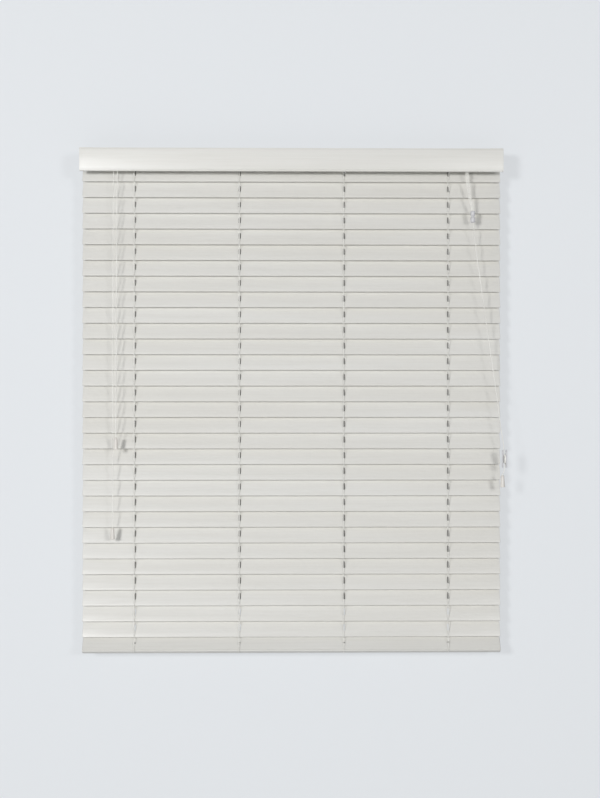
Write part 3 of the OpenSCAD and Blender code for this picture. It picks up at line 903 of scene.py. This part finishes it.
class BLIND_OT_pull_cord(bpy.types.Operator):
    """Adds the condenser, the pull cord wound on its cleat, and its tassel"""

    bl_idname = "blind.pull_cord"
    bl_label = "Pull cord"

    def execute(self, context):
        barrel = self.condenser()
        self.cleat()
        weight = tassel("pull_tassel")
        self.cord(weight)
        self.strands(barrel)
        return {"FINISHED"}

    def condenser(self):
        """Two rounded barrels joined by a waist, with a mouth for the knots of the lift cords."""
        lower = [(0.0013, 0.0), (0.0044, 0.0), *arc((0.0046, 0.0024), 0.0024, -90, 0), (0.0070, 0.0105)]
        shoulder = [*arc((0.0046, 0.0120), 0.0024, 0, 80), (0.0046, 0.0150)]
        waist = [(0.0046, 0.0168), *arc((0.0042, 0.0196), 0.0023, -80, 0), (0.0065, 0.0288)]
        crown = [*arc((0.0041, 0.0296), 0.0024, 0, 90), (0.0038, 0.0320), (0.0036, 0.0312)]
        mouth = [(0.0036, 0.0070), (0.0034, 0.0062), (0.0013, 0.0060), (0.0013, 0.0)]
        piece = lathe("condenser_barrel", lower + shoulder + waist + crown + mouth, CONDENSER)
        smooth(piece, 40)
        fit(piece, "condenser", BODY_OF["cord_condenser"], "cord_condenser")
        knots = overhand("condenser_knot", CONDENSER + Vector((0, 0, 0.0095)), 0.0026, 0.0009)
        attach(knots, BODY_OF["cord_condenser"])
        return piece

    def strands(self, barrel):
        """The four lift cords from the lock down into the condenser."""
        diameter = settings("size").ladder_cord
        for i in range(4):
            exit_x = LOCK_X + 0.0036 - 0.0024 * i
            foot = Vector((CONDENSER.x + 0.0027 - 0.0018 * i, TASSEL_Y, -0.180))
            route = [
                (exit_x, EXIT_Y, HEADRAIL_LOW - 0.001),
                (exit_x + 0.001, EXIT_Y - 0.003, -0.054),
                (exit_x + 0.002, TASSEL_Y + 0.0055, VALANCE_FOOT),
                (exit_x + 0.005, TASSEL_Y + 0.0015, -0.110),
                foot,
            ]
            path = curved(route, 20)
            piece = tubes("lift_strand_%d" % (i + 1), [path], diameter)
            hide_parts("lift_cords")
            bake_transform(piece)
            hang(path)

    def cord(self, weight):
        """One length from the condenser to the cleat, around its neck and down to the tassel."""
        diameter = settings("size").hand_cord
        winding_x = CLEAT.x - 0.0065
        turns, per_turn = 2.5, 24
        reach_z, reach_y, step = 0.0122, 0.0060, 0.0022
        coil = []
        for i in range(int(turns * per_turn) + 1):
            a = 2 * math.pi * i / per_turn
            x = winding_x - 0.0014 + step * i / per_turn * 0.55
            swing = 0.0009 * math.sin(a)
            coil.append((x + swing, CLEAT.y - reach_y * math.sin(a), CLEAT.z + reach_z * math.cos(a)))
        free = curved([*PULL_ROUTE, (coil[0][0], CLEAT.y + 0.001, -0.846), coil[0]], 30)
        tail = curved([coil[-1], (coil[-1][0] - 0.001, CLEAT.y, -0.890), *TAIL_ROUTE], 14)
        path = [Vector(p) for p in [*free[:-1], *coil, *tail[1:]]]
        piece = tubes("pull_cord_line", [path], diameter, 3)
        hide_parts("pull_cord", "cleat_winding")
        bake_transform(piece)
        hang(path)

    def cleat(self):
        """A two-horned cleat with countersunk screw holes, seen edge on from the room."""
        x, y, z = CLEAT

        def standing(outline, at):
            return [(at, y + b, z + a) for a, b in outline]

        base = prism("base", standing(oblong(0.050, 0.0118), x), (-0.003, 0, 0))
        soften(base, 0.0008)
        neck = prism("neck", standing(oblong(0.020, 0.008), x - 0.0025), (-0.0075, 0, 0))
        horn = prism("horn", standing(oblong(0.0496, 0.0078, 10), x - 0.0097), (-0.0036, 0, 0))
        whole(horn)
        bpy.ops.mesh.bisect(plane_co=(x, y, z + 0.012), plane_no=(0, 0, 1))
        bpy.ops.mesh.select_all(action="SELECT")
        bpy.ops.mesh.bisect(plane_co=(x, y, z - 0.012), plane_no=(0, 0, 1))
        bpy.ops.object.mode_set(mode="OBJECT")
        for corner in horn.data.vertices:
            reach = abs(corner.co.z - z) / 0.025
            corner.co.y = y + (corner.co.y - y) * (1 - 0.22 * reach**2)
            if corner.co.x > x - 0.011:
                corner.co.x -= 0.0009 * reach**2
        soften(horn, 0.0013, 4)
        soften(neck, 0.0004, 2)
        piece = unite("cleat_body", [base, neck, horn])
        for up in (-1, 1):
            drill = [(0.0, 0.001), (0.002, 0.001), (0.002, -0.0115), (0.0036, -0.0138), (0.0, -0.0138)]
            tool = lathe("drill", drill, (x, y, z + up * 0.006), 24, (1, 0, 0))
            cut(piece, tool)
        smooth(piece)
        return fit(piece, "condenser", BODY_OF["cord_cleat"], "cord_cleat")


# ---------- lift cords ----------


class BLIND_OT_lift_cords(bpy.types.Operator):
    """Adds the four lift cords through the slats, along the headrail and into the bottom rail"""

    bl_idname = "blind.lift_cords"
    bl_label = "Lift cords"

    def execute(self, context):
        diameter = settings("size").ladder_cord
        fixed_end = SLAT_Z[-GATHERED - 1] - PITCH / 2
        rail_top = SLAT_Z[-1] - PITCH / 2
        run_z = HEADRAIL_LOW + 0.007
        upper, gathered, ends = [], [], []
        for i, x in enumerate(LADDERS):
            exit_x = LOCK_X + 0.0036 - 0.0024 * i
            lane = 0.0205 - 0.0025 * i
            rise = [(x, 0, fixed_end), (x, 0, HEADRAIL_LOW + 0.004)]
            run = [
                (x, 0.001, run_z - 0.0009),
                (x, 0.004, run_z),
                (x, lane - 0.003, run_z),
                (x + 0.0009, lane - 0.0009, run_z),
                (x + 0.003, lane, run_z),
                (exit_x - 0.003, lane, run_z),
                (exit_x - 0.0009, lane - 0.0009, run_z),
                (exit_x, lane - 0.003, run_z),
                (exit_x, EXIT_Y + 0.003, run_z),
                (exit_x, EXIT_Y + 0.001, run_z - 0.001),
                (exit_x, EXIT_Y + 0.0002, run_z - 0.003),
                (exit_x, EXIT_Y, HEADRAIL_LOW - 0.001),
            ]
            upper.append(rise + run)
            gathered.append([(x, 0, fixed_end), (x, 0, rail_top)])
            drop = Vector((0, math.sin(RAIL_TILT), -math.cos(RAIL_TILT)))
            middle_of_bore = Vector((x, 0, RAIL_Z))
            knot = middle_of_bore + drop * 0.0035
            tail_route = [(x, 0, rail_top), (x, 0, RAIL_Z + 0.012), middle_of_bore - drop * 0.007, knot]
            ends.append(curved(tail_route, 12))
            tie = overhand("lift_knot_%d" % (i + 1), knot, 0.0020, 0.0007)
            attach(tie, BODY_OF["bottom_rail"])
        fit(tubes("lift_cord_runs", upper, diameter), "cord", FIXED, "lift_cords")
        travelling = ["lift_cord_%02d" % (len(SLATS) - k) for k in range(GATHERED)]
        lower = fit(tubes("lift_cord_falls", gathered, diameter), "cord", FIXED, *travelling)
        span = fixed_end - rail_top
        1 - LIFT / span
        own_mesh(lower)
        tail = dress(tubes("lift_cord_tails", ends, diameter), "cord")
        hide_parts("lift_cord_ends")
        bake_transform(tail)
        return {"FINISHED"}


# ---------- boards ----------


class BLIND_OT_slats(bpy.types.Operator):
    """Adds the slats: eased boards with a rout hole at each lift cord"""

    bl_idname = "blind.slats"
    bl_label = "Slats"

    def execute(self, context):
        corner = Vector((SLAT_END, SLAT_WIDTH / 2, SLAT_THICK / 2))
        board = block("slat", -corner, corner)
        soften(board, settings("size").slat_edge, 4)
        cut(board, *[self.router(x) for x in LADDERS])
        smooth(board)
        for name, z in zip(SLATS, SLAT_Z):
            piece = copy(board, name.replace("slat", "slat_board"), tilted(SLAT_TILT, z))
            fit(piece, "paint", BODY_OF[name], name)
        discard(board)
        return {"FINISHED"}

    def router(self, x):
        """A cutter for an oblong hole with eased rims."""
        ease, half, deep = 0.0004, SLAT_THICK / 2, 0.004
        outline = [(x + b, ROUT_OFFSET + a, -deep) for a, b in oblong(ROUT_LENGTH, ROUT_WIDTH)]
        tool = prism("router", outline, (0, 0, 2 * deep))
        whole(tool)
        for z in (ease - half, half - ease):
            bpy.ops.mesh.select_all(action="SELECT")
            bpy.ops.mesh.bisect(plane_co=(0, 0, z), plane_no=(0, 0, 1))
        bpy.ops.object.mode_set(mode="OBJECT")
        straight = (ROUT_LENGTH - ROUT_WIDTH) / 2
        for corner in tool.data.vertices:
            if abs(corner.co.z) > half:
                out = corner.co - Vector((x, ROUT_OFFSET, corner.co.z))
                out.y = max(abs(out.y) - straight, 0) * (1 if out.y > 0 else -1)
                corner.co += out.normalized() * (abs(corner.co.z) - half + ease)
        return tool


class BLIND_OT_valance(bpy.types.Operator):
    """Adds the valance board with its moulded top and foot, and the clips behind it"""

    bl_idname = "blind.valance"
    bl_label = "Valance"

    def execute(self, context):
        low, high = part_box("valance")
        step = settings("size").mould_step
        mould = 0.0035
        board = block("valance_board", (low.x, low.y + step, low.z), high)
        for z in (low.z + mould, high.z - mould):
            whole(board)
            bpy.ops.mesh.bisect(plane_co=(0, 0, z), plane_no=(0, 0, 1))
        bpy.ops.object.mode_set(mode="OBJECT")
        pick(board, lambda centre, normal: normal.y < -0.9 and low.z + mould < centre.z < high.z - mould)
        bpy.ops.mesh.extrude_region_move(TRANSFORM_OT_translate={"value": (0, -step, 0)})
        bpy.ops.object.mode_set(mode="OBJECT")
        soften(board, 0.0012, 4)
        fit(board, "paint", FIXED, "valance")
        crisp("valance_clips", "valance_springs", "plastic", 0.0003)
        return {"FINISHED"}


class BLIND_OT_bottom_rail(bpy.types.Operator):
    """Adds the bottom rail, its plugs and the ladder ends that go round it"""

    bl_idname = "blind.bottom_rail"
    bl_label = "Bottom rail"

    def execute(self, context):
        slope = tilted(RAIL_TILT, RAIL_Z)
        corner = Vector((SLAT_END, SLAT_WIDTH / 2, RAIL_THICK / 2))
        board = block("rail_board", -corner, corner)
        soften(board, settings("size").rail_edge, 5)
        for x in LADDERS:
            bore = [(0.0, 0.012), (0.0030, 0.012), (0.0030, 0.0084), (0.0025, 0.0074), (0.0025, 0.001)]
            recess = [(0.0050, 0.001), (0.0050, -0.012), (0.0, -0.012)]
            cut(board, lathe("auger", bore + recess, (x, 0, 0), 28))
        y, z, half, deep, end = 0.0032 - SLAT_WIDTH / 2, RAIL_THICK / 2, 0.0009, 0.0016, 0.6
        groove = [(-end, y - half, z + 0.001), (-end, y, z - deep), (-end, y + half, z + 0.001)]
        cut(board, prism("scraper", groove, (2 * end, 0, 0)))
        smooth(board)
        board.data.transform(slope)
        fit(board, "paint", BODY_OF["bottom_rail"], "bottom_rail")
        plug = unite("rail_buttons", [self.plug(x) for x in LADDERS])
        plug.data.transform(slope)
        fit(smooth(plug, 40), "plastic", BODY_OF["bottom_rail"], "rail_plugs")
        self.wraps(slope)
        return {"FINISHED"}

    def plug(self, x):
        """A domed button on a sleeve, with a hole that the knot can't pass."""
        flange = [(0.0015, -0.0012), (0.0040, -0.0015), (0.0058, -0.0014), (0.0067, -0.0009)]
        flange.append((0.0070, -0.0002))
        sleeve = [(0.0070, 0.0), (0.00495, 0.0), (0.00495, 0.0066), (0.0046, 0.0070), (0.0038, 0.0070)]
        hollow = [(0.0038, 0.0024), (0.0034, 0.0020), (0.0015, 0.0020), (0.0015, -0.0012)]
        return lathe("button", flange + sleeve + hollow, (x, 0, -RAIL_THICK / 2), 36)

    def wraps(self, slope):
        """The ladder cords from the corners of the rail round its edges to the buttons."""
        diameter = settings("size").ladder_cord
        paths = []
        under, plug_edge = -0.0087, 0.0072
        front = [(-0.0257, 0.0090), (-0.0257, -0.004), (-0.0251, -0.0072)]
        front += [(-0.0228, under), (-plug_edge, under)]
        rear = [(0.0257, -0.0090), (0.0240, under), (plug_edge, under)]
        for x in LADDERS:
            for outline, shift in ((front, -0.001), (rear, -0.002)):
                paths.append([slope @ Vector((x + shift, y, z)) for y, z in outline])
        wrap = tubes("rail_cord_ends", [curved(path, 16) for path in paths], diameter)
        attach(wrap, BODY_OF["bottom_rail"])


# ---------- ladders ----------


class BLIND_OT_ladders(bpy.types.Operator):
    """Adds the upright cords of the four ladders and the rungs under every slat"""

    bl_idname = "blind.ladders"
    bl_label = "Ladders"

    def execute(self, context):
        diameter = settings("size").ladder_cord
        rail_y, rail_corner = 0.0219, 0.01625
        rise = 0.0482
        half_slat = SLAT_WIDTH / 2
        cord_y = 0.01126
        for side, name, shift in ((-1, "front", -0.001), (1, "rear", -0.002)):
            node = "ladder_" + name
            y = side * cord_y
            top = ROD_Z - 0.003
            lead_end = HEADRAIL_LOW - 0.028
            fixed_end = SLAT_Z[-GATHERED - 1] + side * half_slat
            loose_end = SLAT_Z[-1] + side * half_slat
            at = [x + shift for x in LADDERS]
            uprights = [evenly([(x, y, lead_end), (x, y, fixed_end)], 28) for x in at]
            fit(tubes(node + "_cords", uprights, diameter), "cord", BODY_OF[node], node)
            folds = [evenly([(x, y, fixed_end), (x, y, loose_end)], 5) for x in at]
            loose = fit(tubes(node + "_folds", folds, diameter), "cord", BODY_OF[node])
            keep = 1 - LIFT / (fixed_end - loose_end + PITCH)
            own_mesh(loose)
            over = [(0.0075, ROD_Z + 0.004), (0.0092, ROD_Z), (0.0105, ROD_Z - 0.006)]
            foot = lead_end - (rise if side > 0 else 0)
            lead = [*((side * out, z) for out, z in over), (y, top - 0.010), (y, foot)]
            leads = [[(x, *place) for place in lead] for x in at]
            fit(tubes(node + "_leads", leads, diameter * 0.86), "cord", FIXED)
            start = loose_end if side > 0 else loose_end + rise
            corner = [(x, side * rail_y, RAIL_Z + side * rail_corner) for x in at]
            upright = [(y, start), (y, loose_end)] if side < 0 else [(y, start)]
            drops = [[*((x, *place) for place in upright), end] for x, end in zip(at, corner)]
            drop = dress(tubes(node + "_drops", drops, diameter * 0.96), "cord")
            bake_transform(drop)
        self.rungs()
        return {"FINISHED"}

    def rungs(self):
        """Two strings under each slat at each ladder, tied round the upright cords."""
        diameter = settings("size").rung
        knot, reach, lip = 0.0272, 0.0006, 0.0262
        under = -SLAT_THICK / 2 - diameter / 2 - 0.0001
        paths = []
        for ladder in LADDERS:
            for side in (-1, 1):
                front, rear = ladder - 0.001, ladder - 0.002
                tie_front = self.tie(front, -knot, reach, side)
                tie_rear = self.tie(rear, knot, -reach, side)
                string = [
                    (front + side * 0.0016, -lip - 0.0004, under + 0.0012),
                    (front + side * 0.0026, -lip + 0.0012, under),
                    (ladder + side * 0.0046, -0.016, under),
                    (ladder + side * 0.0050, 0, under),
                    (ladder + side * 0.0044, 0.018, under),
                    (rear + side * 0.0026, lip - 0.0012, under),
                    (rear + side * 0.0014, lip + 0.0004, under + 0.0006),
                ]
                paths.append(curved([*tie_front, *string, *reversed(tie_rear)], 34))
        master = tubes("rungs", paths, diameter, 1)
        for name, z in zip(SLATS, SLAT_Z):
            piece = copy(master, name.replace("slat", "rungs"), tilted(SLAT_TILT, z))
            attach(piece, BODY_OF[name])
        discard(master)

    def tie(self, x, y, z, side):
        """A loop of string round an upright cord."""
        radius = 0.0011
        steps = 7
        loop = []
        for i in range(steps):
            a = math.pi * 1.7 * i / (steps - 1)
            loop.append((x - side * radius * math.cos(a), y + radius * math.sin(a), z + side * 0.0004))
        return loop


# ---------- headrail, brackets and gear ----------


class BLIND_OT_headrail(bpy.types.Operator):
    """Adds the rolled steel channel with its slots, the box brackets and their doors"""

    bl_idname = "blind.headrail"
    bl_label = "Headrail"

    def execute(self, context):
        self.channel()
        crisp("mounting_brackets", "box_brackets", "enamel", 0.0004)
        crisp("bracket_covers", "bracket_doors", "plastic", 0.0005)
        return {"FINISHED"}

    def channel(self):
        low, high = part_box("headrail")
        wall, lip, bend = 0.001, 0.004, 0.0016
        half = high.y
        left = [(-half + lip, high.z), *arc((-half + bend, high.z - bend), bend, 90, 180, 4)]
        floor = [
            *arc((-half + bend, low.z + bend), bend, 180, 270, 4),
            *arc((half - bend, low.z + bend), bend, 270, 360, 4),
        ]
        right = [*arc((half - bend, high.z - bend), bend, 0, 90, 4), (half - lip, high.z)]
        piece = chain([(low.x, y, z) for y, z in left + floor + right])
        bpy.ops.mesh.select_all(action="SELECT")
        bpy.ops.mesh.extrude_region_move(TRANSFORM_OT_translate={"value": (high.x - low.x, 0, 0)})
        bpy.ops.mesh.select_all(action="SELECT")
        bpy.ops.mesh.remove_doubles(threshold=1e-6)
        bpy.ops.mesh.normals_make_consistent(inside=False)
        bpy.ops.object.mode_set(mode="OBJECT")
        level = [face for face in piece.data.polygons if abs(face.normal.z) > 0.9]
        base = [face for face in level if face.center.z < low.z + 0.001]
        if base[0].normal.z > 0:
            whole(piece)
            bpy.ops.mesh.flip_normals()
            bpy.ops.object.mode_set(mode="OBJECT")
        apply(piece, "SOLIDIFY", thickness=wall, offset=-1, use_even_offset=True)
        deep = 0.003
        outlines = [[(x + b, a) for a, b in oblong(0.040, 0.010, 6)] for x in LADDERS]
        for x, length, width in ((TILTER_X, 0.021, 0.008), (LOCK_X, 0.012, 0.006)):
            outlines.append([(x + a, EXIT_Y + b) for a, b in oblong(length, width, 6)])
        tools = []
        for outline in outlines:
            tools.append(prism("slot", [(x, y, low.z - deep) for x, y in outline], (0, 0, 2 * deep)))
        cut(piece, *tools)
        piece.name = "headrail_channel"
        smooth(piece)
        fit(piece, "enamel", FIXED, "headrail")


class BLIND_OT_gear(bpy.types.Operator):
    """Adds the tilt rod, drums, cradles, cord tilter and cord lock"""

    bl_idname = "blind.gear"
    bl_label = "Gear"

    def execute(self, context):
        crisp("tilt_rod", "hex_rod", "zinc", 0.0003)
        crisp("ladder_drums", "drums", "plastic", 0.0003)
        crisp("ladder_cradles", "cradles", "plastic", 0.0004)
        crisp("tilter_housing", "tilter_case", "plastic", 0.0005)
        crisp("tilter_worm", "worm", "plastic", 0.0002)
        crisp("worm_gear", "wheel", "plastic", 0.0002)
        crisp("cord_lock_housing", "lock_case", "plastic", 0.0004)
        crisp("cord_lock_roller", "lock_roller_barrel", "zinc", 0.0001, 1)
        return {"FINISHED"}


class BLIND_PT_panel(bpy.types.Panel):
    """Lists the pieces of the blind"""

    bl_idname = "BLIND_PT_panel"
    bl_label = "Venetian blind"
    bl_space_type = "VIEW_3D"
    bl_region_type = "UI"
    bl_category = "Blind"

    def draw(self, context):
        for operator in OPERATORS:
            self.layout.operator(operator.bl_idname)
        for group in GROUPS:
            chosen = settings(group)
            for name in GROUPS[group].__annotations__:
                self.layout.prop(chosen, name)


GROUPS = {"finish": BlindFinishSettings, "size": BlindSizeSettings, "stage": BlindStageSettings}
OPERATORS = (
    BLIND_OT_stage,
    BLIND_OT_tilt_cords,
    BLIND_OT_pull_cord,
    BLIND_OT_lift_cords,
    BLIND_OT_ladders,
    BLIND_OT_slats,
    BLIND_OT_valance,
    BLIND_OT_bottom_rail,
    BLIND_OT_headrail,
    BLIND_OT_gear,
)


def register():
    for group, kind in GROUPS.items():
        bpy.utils.register_class(kind)
        setattr(bpy.types.Scene, "blind_" + group, bpy.props.PointerProperty(type=kind))
    for operator in OPERATORS:
        bpy.utils.register_class(operator)
    bpy.utils.register_class(BLIND_PT_panel)


def unregister():
    bpy.utils.unregister_class(BLIND_PT_panel)
    for operator in reversed(OPERATORS):
        bpy.utils.unregister_class(operator)
    for group, kind in GROUPS.items():
        delattr(bpy.types.Scene, "blind_" + group)
        bpy.utils.unregister_class(kind)


def main():
    register()
    bpy.ops.blind.stage()
    bpy.ops.blind.tilt_cords()
    bpy.ops.blind.pull_cord()
    bpy.ops.blind.lift_cords()
    bpy.ops.blind.ladders()
    bpy.ops.blind.slats()
    bpy.ops.blind.valance()
    bpy.ops.blind.bottom_rail()
    bpy.ops.blind.headrail()
    bpy.ops.blind.gear()
    deselect()


if __name__ == "__main__":
    main()
